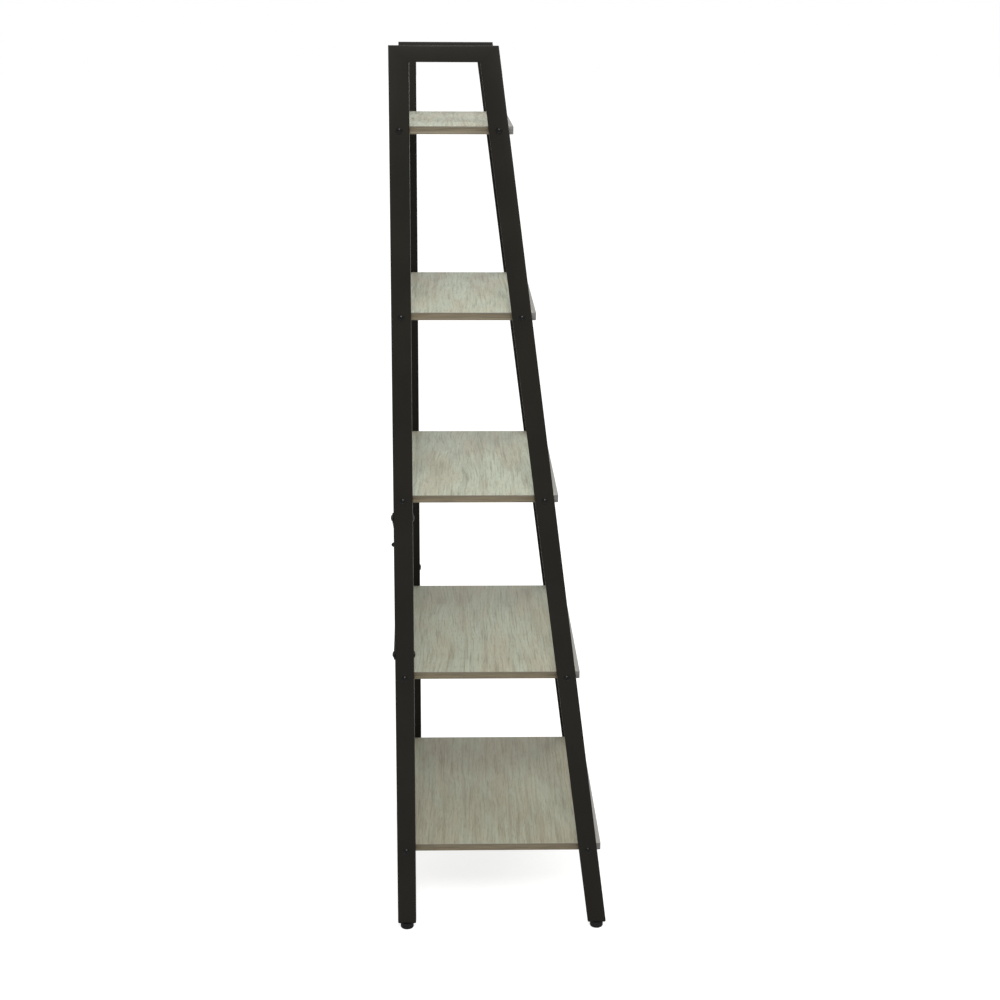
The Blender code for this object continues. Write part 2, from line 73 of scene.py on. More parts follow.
SOFTBOX_PLACE = (-4.4, 0.05, 4.2)
SOFTBOX_WIDTH = 1.6
RIM_LIGHT_PLACE = (3.4, -2.6, 1.9)
RIM_LIGHT_WIDTH = 1.8
OVERHEAD_FROM = (0.05, -0.62, 1.0)


# Places read from the packed frame


def middle(node):
    low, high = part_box(node)
    return (low + high) / 2


def extent(node):
    low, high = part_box(node)
    return high - low


POST_LOW, POST_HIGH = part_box("right_rear_post")
REAR_Y = POST_HIGH.y
TUBE_WIDTH = POST_HIGH.x - POST_LOW.x
TUBE_DEPTH = POST_HIGH.y - POST_LOW.y
TUBE_END = POST_LOW.z
FRAME_X = (POST_LOW.x + POST_HIGH.x) / 2
SHELF_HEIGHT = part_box("right_top_bar")[1].z
TOP_BAR_HEIGHT = extent("right_top_bar").z
LOW_BOLT = middle("shelf_bolt_1_right_front")
HIGH_BOLT = middle("shelf_bolt_5_right_front")
LEG_SLOPE = (HIGH_BOLT.y - LOW_BOLT.y) / (HIGH_BOLT.z - LOW_BOLT.z)
LEG_LEVEL_DEPTH = TUBE_DEPTH * math.hypot(1.0, LEG_SLOPE)


def leg_centre_y(height):
    return LOW_BOLT.y + LEG_SLOPE * (height - LOW_BOLT.z)


def leg_front_y(height):
    """Where the front face of a leaning leg is at a height."""
    return leg_centre_y(height) - LEG_LEVEL_DEPTH / 2


# Settings


def quantity(name, default, description, **limits):
    return FloatProperty(name=name, default=default, description=description, **limits)


def size(name, default, description):
    return quantity(name, default, description, unit="LENGTH", precision=5, min=0.0)


def angle(name, degrees, description):
    return quantity(name, math.radians(degrees), description, unit="ROTATION", precision=4)


def share(name, default, description):
    return quantity(name, default, description, min=0.0, soft_max=1.0)


def colour(name, default, description):
    return FloatVectorProperty(
        name=name, default=default, description=description, subtype="COLOR", size=3, min=0.0, max=1.0
    )


class FrameSizes(bpy.types.PropertyGroup):
    """Sizes of the side frames"""

    wall: size("Tube wall", 0.0015, "Thickness of the steel")
    corner: size("Tube corner", 0.0025, "Outside radius of the tube's long edges")
    corner_steps: IntProperty(name="Corner steps", default=6, min=1, description="Faces round each long edge")
    bolt_hole: size("Bolt hole", 0.0033, "Radius of the holes for the shelf bolts and brace bolts")
    sleeve_hole: size("Sleeve hole", 0.0046, "Radius of the holes for the sleeve nuts")


class BoardSizes(bpy.types.PropertyGroup):
    """Sizes of the boards"""

    corner: size("Front corner", 0.003, "Radius of the two front corners")
    edge: size("Eased edge", 0.0006, "How far the long edges are eased")
    hole: size("Insert hole", 0.0045, "Radius of the holes for the threaded inserts")
    hole_depth: size("Insert hole depth", 0.024, "Depth of the holes for the threaded inserts")
    insert_length: size("Insert length", 0.018, "Length of a threaded insert")


class FastenerSizes(bpy.types.PropertyGroup):
    """Sizes of bolts and nuts"""

    bolt: size("Bolt radius", 0.003, "Outside radius of the bolts' thread")
    pitch: size("Thread pitch", 0.001, "Pitch of the bolts' thread")
    thread: size("Thread depth", 0.00055, "Depth of the bolts' thread")
    plain: size("Plain shank", 0.014, "Length of a long bolt's shank that has no thread")
    head: size("Head radius", 0.0066, "Radius of a bolt's button head")
    head_height: size("Head height", 0.0033, "Height of a bolt's button head")
    rim: size("Head rim", 0.0008, "Height of the straight rim under the dome")
    socket: size("Socket width", 0.004, "Hexagon socket across its flats")
    socket_depth: size("Socket depth", 0.0017, "Depth of the hexagon socket")
    sleeve_head: size("Sleeve head radius", 0.007, "Radius of a sleeve nut's head")
    sleeve_head_height: size("Sleeve head height", 0.0028, "Height of a sleeve nut's head")
    sleeve: size("Sleeve radius", 0.0043, "Outside radius of a sleeve nut")
    cap_hex: size("Cap nut width", 0.010, "Cap nut across its flats")
    cap_hex_height: size("Cap nut hexagon", 0.005, "Height of the cap nut's hexagon")
    cap_dome: size("Cap nut dome", 0.0046, "Radius of the cap nut's dome")
    turn_seed: IntProperty(name="Turn seed", default=4, description="Seed for how far each head was turned")


class BraceSizes(bpy.types.PropertyGroup):
    """Sizes of the back brace"""

    width: size("Strap width", 0.020, "Width of a strap")
    thickness: size("Strap thickness", 0.002, "Thickness of a strap")
    corner: size("Strap corner", 0.0085, "Radius of a strap's end corners")
    edge: size("Strap edge", 0.0004, "How far a strap's edges are eased")
    overhang: size("Strap overhang", 0.010, "Strap past the middle of its end bolt")


class FootSizes(bpy.types.PropertyGroup):
    """Sizes of the levelling feet"""

    lower_round: size("Pad lower edge", 0.003, "Radius of the pad's edge at the floor")
    upper_round: size("Pad upper edge", 0.001, "Radius of the pad's upper edge")
    stem: size("Stem radius", 0.004, "Outside radius of the stem's thread")
    pitch: size("Stem pitch", 0.00125, "Pitch of the stem's thread")
    thread: size("Stem thread depth", 0.0007, "Depth of the stem's thread")
    head_height: size("Stem head height", 0.0034, "Height of the stem's head in the pad")
    play: size("Play", 0.0003, "Room round the stem in the pad and in the plug")
    flange: size("Plug flange", 0.002, "Thickness of the plug's flange under the tube")
    rib_space: size("Rib spacing", 0.0042, "From one rib of the plug to the next")


class Finishes(bpy.types.PropertyGroup):
    """Colours of the finishes"""

    paint: colour("Powder coat", (0.0080, 0.0067, 0.0041), "Warm near-black coat of the frames and straps")
    oak_grey: colour("Oak grey", (0.450, 0.487, 0.394), "Green-grey ground of the laminate")
    oak_warm: colour("Oak warm", (0.446, 0.437, 0.343), "Warm patches of the laminate")
    oak_dark: colour("Oak dark", (0.185, 0.165, 0.120), "Growth lines and pores of the laminate")
    end_tan: colour("Board end", (0.128, 0.102, 0.060), "Tan ends of the boards")
    band_grey: colour("Front band", (0.135, 0.132, 0.124), "Grey band round the boards' front edges")
    zinc_black: colour("Black zinc", (0.0038, 0.0035, 0.0031), "Bolts and nuts")
    plastic: colour("Black plastic", (0.0035, 0.0035, 0.0035), "Foot pads and tube plugs")
    zinc: colour("Zinc plate", (0.560, 0.560, 0.540), "Stems of the feet")
    brass: colour("Brass", (0.560, 0.410, 0.190), "Threaded inserts")


class StageSettings(bpy.types.PropertyGroup):
    """Floor, lights and camera"""

    place: FloatVectorProperty(
        name="Camera place", default=(-3.6, 0.0827, 1.842), subtype="TRANSLATION", unit="LENGTH",
        description="Where the camera stands",
    )
    heading: angle("Camera heading", -1.43, "Turn of the view from +X towards +Y")
    tilt: angle("Camera tilt", 14.42, "How far the camera looks down")
    roll: angle("Camera roll", 0.25, "Turn of the camera about its view line")
    lens: quantity("Lens", 62.7, "Focal length in millimetres, on 36 mm", min=1.0)
    rise: quantity("Vertical shift", -0.03, "Lens shift as a share of the width")
    floor: size("Floor radius", 60.0, "Radius of the pale floor")
    glow: share("Floor glow", 0.70, "How much the floor glows by itself to the camera")
    bounce: share("Floor bounce", 0.30, "How much the floor glows onto the shelf")
    ambient: share("Ambient light", 0.62, "Strength of the light from all round")
    sun: quantity("Overhead light", 1.1, "Strength of the overhead light", min=0.0)
    sun_size: angle("Overhead spread", 80.0, "Apparent width of the overhead light")
    softbox: quantity("Softbox", 190.0, "Power of the softbox in watts", min=0.0)
    rim: quantity("Rim light", 36.0, "Power of the rim light in watts", min=0.0)


GROUPS = {
    "frames": FrameSizes,
    "boards": BoardSizes,
    "fasteners": FastenerSizes,
    "brace": BraceSizes,
    "feet": FootSizes,
    "finishes": Finishes,
    "stage": StageSettings,
}


class ShelfSettings(bpy.types.PropertyGroup):
    """All settings of the ladder shelf, one group for each kind of piece"""

    __annotations__ = {
        name: PointerProperty(type=group, name=name.capitalize(), description=group.__doc__)
        for name, group in GROUPS.items()
    }


def settings():
    return bpy.context.scene.ladder_shelf


# Node trees


class Field:
    """A number in a node tree. Sums on it add Math nodes."""

    def __init__(self, tree, socket):
        self.tree = tree
        self.socket = socket

    def maths(self, operation, *others):
        values = dict(enumerate((self, *others)))
        return Field(self.tree, add_node(self.tree, "ShaderNodeMath", values, operation=operation).outputs[0])

    __add__ = partialmethod(maths, "ADD")
    __sub__ = partialmethod(maths, "SUBTRACT")
    __mul__ = partialmethod(maths, "MULTIPLY")
    __truediv__ = partialmethod(maths, "DIVIDE")

    def between(self, low, high):
        """Smoothly from 0 at the first value to 1 at the second, which may be the lower one."""
        ends = {"Value": self, "From Min": low, "From Max": high}
        node = add_node(self.tree, "ShaderNodeMapRange", ends, interpolation_type="SMOOTHSTEP")
        return Field(self.tree, node.outputs["Result"])


def plug(tree, socket, value):
    """Links a field or a socket to the socket, or sets a plain value on it."""
    if isinstance(value, Field):
        tree.links.new(value.socket, socket)
    elif isinstance(value, bpy.types.NodeSocket):
        tree.links.new(value, socket)
    else:
        socket.default_value = value


def add_node(tree, kind, sockets=None, **traits):
    node = tree.nodes.new(kind)
    for name, value in traits.items():
        setattr(node, name, value)
    for name, value in (sockets or {}).items():
        plug(tree, node.inputs[name], value)
    return node


def geometry(tree, kind, sockets=None, **traits):
    """The first output of a new geometry node."""
    return add_node(tree, "GeometryNode" + kind, sockets, **traits).outputs[0]


def axes(tree, vector):
    """The three parts of a vector, as fields."""
    split = add_node(tree, "ShaderNodeSeparateXYZ", {0: vector})
    return [Field(tree, socket) for socket in split.outputs]


def joined(tree, x, y, z):
    return add_node(tree, "ShaderNodeCombineXYZ", {0: x, 1: y, 2: z}).outputs[0]


def new_tree(name, sockets):
    """A geometry tree with geometry in and out and named inputs, given as {name: socket kind}."""
    tree = bpy.data.node_groups.new(name, "GeometryNodeTree")
    for way in ("INPUT", "OUTPUT"):
        tree.interface.new_socket(name="Geometry", in_out=way, socket_type="NodeSocketGeometry")
    for label, kind in sockets.items():
        tree.interface.new_socket(name=label, in_out="INPUT", socket_type="NodeSocket" + kind)
    inputs = tree.nodes.new("NodeGroupInput").outputs
    values = {label: Field(tree, inputs[label]) for label in sockets}
    return tree, inputs["Geometry"], values


def end_tree(tree, shape, finish=None):
    """Closes a tree: its instances are made real, and its faces take the finish."""
    last = geometry(tree, "RealizeInstances", {0: shape})
    if finish is not None:
        last = geometry(tree, "SetMaterial", {"Geometry": last, "Material": finish})
    tree.links.new(last, tree.nodes.new("NodeGroupOutput").inputs[0])


def tree_named(name, maker):
    return bpy.data.node_groups.get(name) or maker()


def run_tree(obj, tree, values):
    """Adds the tree to the object as a modifier, each input set by its socket's identifier."""
    modifier = obj.modifiers.new(tree.name, "NODES")
    modifier.node_group = tree
    for item in tree.interface.items_tree:
        if item.in_out == "INPUT" and item.name in values:
            modifier[item.identifier] = values[item.name]


# Mesh helpers


def linked(name, data):
    obj = bpy.data.objects.new(name, data)
    bpy.context.scene.collection.objects.link(obj)
    return obj


def new_object(name, bm):
    mesh = bpy.data.meshes.new(name)
    bm.to_mesh(mesh)
    bm.free()
    return linked(name, mesh)


def settled(obj, name):
    """A plain mesh object of the object with its modifiers done and its place in its mesh.

    Wider faces are flat, so only rounded edges are shaded as curves.
    """
    bpy.context.view_layer.update()
    graph = bpy.context.evaluated_depsgraph_get()
    mesh = bpy.data.meshes.new_from_object(obj.evaluated_get(graph))
    mesh.transform(obj.matrix_world)
    mesh.name = name
    bpy.data.objects.remove(obj, do_unlink=True)
    bm = bmesh.new()
    bm.from_mesh(mesh)
    bmesh.ops.remove_doubles(bm, verts=bm.verts, dist=SAME_POINT)
    for face in bm.faces:
        around = sum(edge.calc_length() for edge in face.edges)
        face.smooth = 2 * face.calc_area() / around < ROUND_FACE_WIDTH
    bm.to_mesh(mesh)
    bm.free()
    mesh.set_sharp_from_angle(angle=SHARP_FROM)
    return linked(name, mesh)


def belongs(piece, body, nodes, finish=None):
    """The piece rides on the body, takes the slot's finish and stands for the CAD nodes."""
    if finish is not None:
        piece.data.materials.clear()
        piece.data.materials.append(finish_of(finish))
    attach(piece, body)
    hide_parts(*nodes)


def circle(radius, height, count):
    steps = [2 * math.pi * i / count for i in range(count)]
    return [Vector((radius * math.cos(a), radius * math.sin(a), height)) for a in steps]


def turned(count, *profile):
    """Rings of a turned shape from (radius, height) points. A radius of 0 makes a pole."""
    pole = Vector((0.0, 0.0, 1.0))
    return [circle(radius, height, count) if radius else [pole * height] for radius, height in profile]


def shank(radius, start, end, spacing):
    """Profile points of a straight shank, about one for each spacing."""
    steps = max(1, round(abs(end - start) / spacing))
    return [(radius, start + (end - start) * i / steps) for i in range(steps + 1)]


def rounding(radius_at, height_at, size_of, start, steps):
    """Profile points of a quarter round, turning clockwise from the start angle."""
    angles = [start - math.pi / 2 * i / steps for i in range(steps + 1)]
    return [(radius_at + size_of * math.cos(a), height_at + size_of * math.sin(a)) for a in angles]


def hexagon(width, height, count, reach=math.inf):
    """Points of a hexagon of a width across its flats, its corners trimmed to a radius."""
    points = []
    for i in range(count):
        a = 2 * math.pi * i / count
        radius = min(width / 2 / math.cos(a % (math.pi / 3) - math.pi / 6), reach)
        points.append(Vector((radius * math.cos(a), radius * math.sin(a), height)))
    return points


def skin(name, rings, loop=False):
    """A closed mesh over a stack of rings of equal length, with one point for a pole."""
    bm = bmesh.new()
    stack = [[bm.verts.new(point) for point in ring] for ring in rings]
    pairs = list(zip(stack, stack[1:]))
    if loop:
        pairs.append((stack[-1], stack[0]))
    for lower, upper in pairs:
        count = max(len(lower), len(upper))
        for i in range(count):
            j = (i + 1) % count
            if len(lower) == 1:
                bm.faces.new((lower[0], upper[j], upper[i]))
            elif len(upper) == 1:
                bm.faces.new((lower[i], lower[j], upper[0]))
            else:
                bm.faces.new((lower[i], lower[j], upper[j], upper[i]))
    bmesh.ops.recalc_face_normals(bm, faces=bm.faces)
    return new_object(name, bm)


def drilled(obj, name, holes):
    """The settled object with round holes in it, each given as (centre, axis, radius, length)."""
    bm = bmesh.new()
    for centre, axis, radius, length in holes:
        turn = Vector((0, 0, 1)).rotation_difference(Vector(axis)).to_matrix().to_4x4()
        bmesh.ops.create_cone(
            bm, cap_ends=True, segments=HOLE_SIDES, radius1=radius, radius2=radius, depth=length,
            matrix=Matrix.Translation(centre) @ turn,
        )
    cutter = new_object("drill_" + obj.name, bm)
    boolean = obj.modifiers.new("holes", "BOOLEAN")
    boolean.solver = "EXACT"
    boolean.object = cutter
    piece = settled(obj, name)
    bpy.data.objects.remove(cutter, do_unlink=True)
    return piece


def ease_edges(obj, width, degrees):
    """Bevels the edges that turn by more than an angle."""
    eased = obj.modifiers.new("eased edges", "BEVEL")
    eased.width = width
    eased.segments = 2
    eased.limit_method = "ANGLE"
    eased.angle_limit = math.radians(degrees)


# Finishes


class Finish:
    """A new material, with its shader and its object coordinates."""

    def __init__(self, name, roughness=0.5, metallic=0.0):
        self.material = bpy.data.materials.new(name)
        self.material.use_nodes = True
        self.tree = self.material.node_tree
        self.shader = self.tree.nodes["Principled BSDF"]
        self.place = self.add("ShaderNodeTexCoord").outputs["Object"]
        self.set("Roughness", roughness)
        self.set("Metallic", metallic)

    def add(self, kind, sockets=None, **traits):
        return add_node(self.tree, kind, sockets, **traits)

    def set(self, socket, value):
        plug(self.tree, self.shader.inputs[socket], value)

    def noise(self, vector, scale=1.0, detail=2.0, roughness=0.5, distortion=0.0):
        sockets = {"Vector": vector, "Scale": scale, "Detail": detail, "Roughness": roughness}
        sockets["Distortion"] = distortion
        return Field(self.tree, self.add("ShaderNodeTexNoise", sockets).outputs[0])

    def grain(self, x, y, z, detail=2.0, roughness=0.5, distortion=0.0):
        """Noise at a place given by its three parts."""
        return self.noise(joined(self.tree, x, y, z), 1.0, detail, roughness, distortion)

    def mixed(self, tone, *layers):
        """The tone under layers of colour, each given as (how much, colour). Any may be a socket."""
        for amount, over in layers:
            node = self.add("ShaderNodeMix", data_type="RGBA")
            plug(self.tree, node.inputs[0], amount)
            for socket, value in ((node.inputs[6], tone), (node.inputs[7], over)):
                plug(self.tree, socket, value if isinstance(value, bpy.types.NodeSocket) else (*value, 1.0))
            tone = node.outputs[2]
        return tone

    def emboss(self, height, strength, distance):
        bump = self.add("ShaderNodeBump", {"Strength": strength, "Distance": distance, "Height": height})
        self.set("Normal", bump.outputs[0])


def scaled(rgb, factor):
    return [min(1.0, part * factor) for part in rgb]


def ahead_of_leg(y, z):
    """How far a place is in front of the leaning legs' front faces, as a field."""
    return y * -1.0 + z * LEG_SLOPE + leg_front_y(0.0)


def oak_laminate(colours):
    """Grey-oak print with the grain along X: patches, growth lines that bend round knots, and fibres.

    The lower boards are painted darker and browner towards the floor, as painted shade from the boards above
    them, and the front band is wrapped over the front edge.
    """
    finish = Finish("grey_oak_laminate")
    x, y, z = axes(finish.tree, finish.place)
    warp = finish.grain(x * 2.6, y * 9.0, z * 14.0) - 0.5
    cells = joined(finish.tree, x * 3.1 + warp * 0.5, y * 8.5 + warp * 0.4, z * 9.7)
    knots = finish.add("ShaderNodeTexVoronoi", {"Vector": cells, "Scale": 1.0, "Randomness": 1.0})
    knot = Field(finish.tree, knots.outputs["Distance"]).between(0.60, 0.0)
    wander = y + warp * 0.015 + knot * knot * 0.010

    patch = finish.grain(x * 4.4, wander * 19.0, z * 13.0, 3.0, 0.6)
    cloud = finish.grain(x * 9.0, wander * 44.0, z * 17.0)
    dash = finish.grain(x * 8.5, wander * 235.0, z * 30.0, 3.0, 0.68)
    stripe = finish.grain(x * 3.0, wander * 92.0, z * 21.0)
    fibre = finish.grain(x * 42.0, wander * 1100.0, z * 30.0, 3.0, 0.6)
    pores = finish.grain(x * 42.0, wander * 1500.0, z * 30.0, 1.0, 0.4, 0.2).between(0.60, 0.68)
    lines = (wander * (2 * math.pi / GROWTH_LINE_SPACING) + warp * 6.0).maths("SINE") * 0.5 + 0.5
    drawn = cloud.between(0.42, 0.62) * 0.5 + knot * 0.5

    dark = colours.oak_dark
    pale = scaled(colours.oak_grey, 1.35)
    finish.set("Base Color", finish.mixed(
        colours.oak_grey,
        (patch.between(0.37, 0.63), colours.oak_warm),
        (cloud.between(0.48, 0.74) * 0.16, dark),
        (stripe.between(0.50, 0.70) * 0.26, dark),
        (lines.maths("POWER", 2.5) * drawn * 0.22, dark),
        (knot.between(0.86, 1.0) * 0.30, dark),
        (dash.between(0.50, 0.67) * 0.50, dark),
        (dash.between(0.47, 0.24) * 0.36, pale),
        (fibre.between(0.44, 0.22) * 0.26, pale),
        (pores * 0.62, dark),
        # painted shade: lower down, the laminate is blended towards a darker tan, standing in for shade cast
        # by the boards above
        (z.between(1.10, 0.10) * 0.48, scaled(colours.end_tan, 1.05)),
        (ahead_of_leg(y, z).between(0.0015, 0.0030), scaled(colours.band_grey, 2.0)),
    ))
    finish.set("Roughness", (fibre - 0.5) * 0.25 + 0.54)
    finish.set("Specular IOR Level", 0.35)
    finish.emboss(fibre + dash * 0.8 - pores * 0.8, 0.22, 0.00012)
    return finish.material


def board_edge(colours):
    """Tan ends with streaks along Y, dark along the top. The grey front band is wrapped round the corners."""
    finish = Finish("board_edge_band")
    x, y, z = axes(finish.tree, finish.place)
    rise = Field(finish.tree, finish.add("ShaderNodeAttribute", attribute_name="rise").outputs["Fac"])
    streak = finish.grain(x * 20.0, y * 16.0, z * 520.0, 3.0, 0.6)
    fine = finish.grain(x * 60.0, y * 60.0, z * 1900.0)
    band = finish.mixed(
        scaled(colours.band_grey, 1.15), (streak.between(0.30, 0.70), scaled(colours.band_grey, 0.82))
    )
    finish.set("Base Color", finish.mixed(
        scaled(colours.end_tan, 1.18),
        (streak.between(0.32, 0.70), scaled(colours.end_tan, 0.72)),
        (fine.between(0.5, 0.8) * 0.35, colours.oak_dark),
        (rise.between(0.22, 0.38) * 0.80, scaled(colours.oak_dark, 0.62)),
        (rise.between(-0.40, -0.47) * 0.35, colours.oak_dark),
        (ahead_of_leg(y, z).between(-0.0005, 0.0005), band),
    ))
    finish.set("Roughness", streak * 0.2 + 0.42)
    finish.emboss(streak + fine * 0.5, 0.12, 0.0001)
    return finish.material


def bare_board(colours):
    """Pressed wood chips inside the drilled holes."""
    finish = Finish("pressed_wood_core", 0.85)
    flat = finish.add("ShaderNodeMapping", {"Vector": finish.place, "Scale": (1.0, 0.6, 2.2)}).outputs[0]
    chips = finish.add("ShaderNodeTexVoronoi", {"Vector": flat, "Scale": 700.0})
    chip = Field(finish.tree, chips.outputs["Distance"])
    light, dark = scaled(colours.end_tan, 1.3), scaled(colours.end_tan, 0.6)
    finish.set("Base Color", finish.mixed(light, (chip.between(0.1, 0.8), dark)))
    finish.emboss(chip, 0.4, 0.0003)
    return finish.material


def mottled(name, tone, spread, mottle, fine, gloss, bump, specular=0.5, metallic=0.0):
    """One tone with a mottle over a finer grain."""
    finish = Finish(name, gloss[0], metallic)
    mottle = finish.noise(finish.place, *mottle)
    fine = finish.noise(finish.place, *fine)
    low, high = (scaled(tone, factor) for factor in spread)
    finish.set("Base Color", finish.mixed(low, (mottle.between(0.3, 0.7), high)))
    finish.set("Roughness", (mottle - 0.5) * gloss[1] + (fine - 0.5) * gloss[2] + gloss[0])
    finish.set("Specular IOR Level", specular)
    finish.emboss(fine, *bump)
    return finish.material


PATTERNED = {"grey_oak_laminate": oak_laminate, "board_edge_band": board_edge, "pressed_wood_core": bare_board}

# Colour, spread of its tone, mottle and fine grain as for noise, gloss as (roughness, change by the mottle,
# change by the fine grain), bump as (strength, distance), specular and metallic.
MOTTLED = {
    "black_powder_coat":
        ("paint", (0.86, 1.14), (9.0, 3.0), (1500.0, 2.0), (0.40, 0.12, 0.10), (0.16, 0.00005), 0.15),
    "black_zinc":
        ("zinc_black", (0.75, 1.25), (420.0, 3.0), (420.0, 3.0), (0.26, 0.14, 0.0), (0.06, 0.00004), 0.17),
    "moulded_black_plastic":
        ("plastic", (0.85, 1.3), (120.0, 2.0), (2400.0, 2.0, 0.6), (0.58, 0.0, 0.2), (0.22, 0.00005), 0.18),
    "bright_zinc":
        ("zinc", (0.82, 1.18), (260.0, 3.0), (2340.0, 2.0), (0.28, 0.22, 0.12), (0.08, 0.00004), 0.5, 1.0),
    "turned_brass":
        ("brass", (0.82, 1.18), (300.0, 3.0), (2700.0, 2.0), (0.32, 0.22, 0.12), (0.08, 0.00004), 0.5, 1.0),
}


def finish_of(name):
    """The finish of that name, made when it is first asked for."""
    made = bpy.data.materials.get(name)
    if made is not None:
        return made
    colours = settings().finishes
    if name in PATTERNED:
        return PATTERNED[name](colours)
    tone, *traits = MOTTLED[name]
    return mottled(name, getattr(colours, tone), *traits)


# Side frames


def tube_ring(outer, inner, x, inset, corner, steps):
    """One section of the tube between an outer and an inner (y, z) point, inset for the inside wall."""
    half = TUBE_WIDTH / 2 - inset
    depth = TUBE_DEPTH
    radius = max(corner - inset, SMALLEST_CORNER)
    centres = [
        (half - radius, inset + radius, -math.pi / 2), (half - radius, depth - inset - radius, 0.0),
        (radius - half, depth - inset - radius, math.pi / 2), (radius - half, inset + radius, math.pi),
    ]
    points = []
    for across, into, start in centres:
        for i in range(steps + 1):
            a = start + math.pi / 2 * i / steps
            part = (into + radius * math.sin(a)) / depth
            y = outer[0] + (inner[0] - outer[0]) * part
            z = outer[1] + (inner[1] - outer[1]) * part
            points.append(Vector((x + across + radius * math.cos(a), y, z)))
    return points


def side_frame(side, sizes):
    """Post, top bar and leg welded into one hollow tube frame, open at its two lower ends."""
    x = SIDES[side] * FRAME_X
    inner_z = SHELF_HEIGHT - TOP_BAR_HEIGHT
    foot_front = leg_front_y(TUBE_END)
    stations = [
        ((REAR_Y, TUBE_END), (REAR_Y - TUBE_DEPTH, TUBE_END)),
        ((REAR_Y, SHELF_HEIGHT), (REAR_Y - TUBE_DEPTH, inner_z)),
        ((leg_front_y(SHELF_HEIGHT), SHELF_HEIGHT), (leg_front_y(inner_z) + LEG_LEVEL_DEPTH, inner_z)),
        ((foot_front, TUBE_END), (foot_front + LEG_LEVEL_DEPTH, TUBE_END)),
    ]
    outside = [tube_ring(a, b, x, 0.0, sizes.corner, sizes.corner_steps) for a, b in stations]
    inside = [tube_ring(a, b, x, sizes.wall, sizes.corner, sizes.corner_steps) for a, b in reversed(stations)]
    obj = skin("tubes_" + side, outside + inside, loop=True)
    holes = []
    for number in BOARD_NUMBERS:
        for end in ENDS:
            place = middle(f"shelf_bolt_{number}_{side}_{end}")
            holes.append(((x, place.y, place.z), (1, 0, 0), sizes.bolt_hole, 2 * TUBE_WIDTH))
    for level in LEVELS:
        height = middle(f"brace_bolt_{side}_{level}").z
        holes.append(((x, REAR_Y, height), (0, 1, 0), sizes.bolt_hole, TUBE_WIDTH))
        holes.append(((x, REAR_Y - TUBE_DEPTH, height), (0, 1, 0), sizes.sleeve_hole, TUBE_WIDTH))
    piece = drilled(obj, "side_frame_" + side, holes)
    nodes = [f"{side}_{part}" for part in ("rear_post", "front_leg", "top_bar")]
    belongs(piece, "frame", nodes, "black_powder_coat")


# Boards


def board_tree():
    """A board centred on the origin, with rounded front corners and a hole at each bolt line."""
    lengths = (
        "Width", "Depth", "Thickness", "Corner radius", "Hole radius", "Hole depth", "Rear line", "Front line"
    )
    finishes = ("Laminate", "Edge", "Core")
    tree, _, value = new_tree("board", dict.fromkeys(lengths, "Float") | dict.fromkeys(finishes, "Material"))
    sides = {"Width": value["Width"], "Height": value["Depth"]}
    outline = geometry(tree, "CurvePrimitiveQuadrilateral", sides)
    in_front = axes(tree, geometry(tree, "InputPosition"))[1].maths("LESS_THAN", 0.0)
    corners = {"Curve": outline, "Count": 4, "Radius": in_front * value["Corner radius"]}
    rounded = geometry(tree, "FilletCurve", corners, mode="POLY")
    under = geometry(tree, "FillCurve", {"Curve": rounded}, mode="NGONS")
    raised = geometry(tree, "ExtrudeMesh", {
        "Mesh": under, "Offset": (0, 0, 1), "Offset Scale": value["Thickness"], "Individual": False,
    })
    both = tree.nodes.new("GeometryNodeJoinGeometry")
    for part in (raised, geometry(tree, "FlipFaces", {0: under})):
        tree.links.new(part, both.inputs[0])
    slab = geometry(tree, "MergeByDistance", {"Geometry": both.outputs[0], "Distance": 10 * SAME_POINT})
    low = joined(tree, 0.0, 0.0, value["Thickness"] * -0.5)
    slab = geometry(tree, "Transform", {"Geometry": slab, "Translation": low})
    slab = geometry(tree, "SetMaterial", {"Geometry": slab, "Material": value["Edge"]})
    facing = axes(tree, geometry(tree, "InputNormal"))[2].maths("ABSOLUTE")
    slab = geometry(tree, "SetMaterial", {
        "Geometry": slab, "Selection": facing.maths("GREATER_THAN", 0.5), "Material": value["Laminate"],
    })

    number = Field(tree, geometry(tree, "InputIndex"))
    sideways = number.maths("MODULO", 2.0) * 2.0 - 1.0
    at_rear = number.maths("LESS_THAN", 2.0)
    line = value["Front line"] + at_rear * (value["Rear line"] - value["Front line"])
    spot = joined(tree, sideways * value["Width"] * 0.5, line, 0.0)
    spots = geometry(tree, "Points", {"Count": 4, "Position": spot})
    bit = geometry(tree, "MeshCylinder", {
        "Vertices": HOLE_SIDES, "Radius": value["Hole radius"], "Depth": value["Hole depth"] * 2.0,
    })
    bit = geometry(tree, "SetMaterial", {"Geometry": bit, "Material": value["Core"]})
    sideways_turn = (0.0, math.pi / 2, 0.0)
    bits = geometry(tree, "InstanceOnPoints", {"Points": spots, "Instance": bit, "Rotation": sideways_turn})
    bits = geometry(tree, "RealizeInstances", {0: bits})
    end_tree(tree, geometry(tree, "MeshBoolean", {"Mesh 1": slab, "Mesh 2": bits}, solver="EXACT"))
    return tree


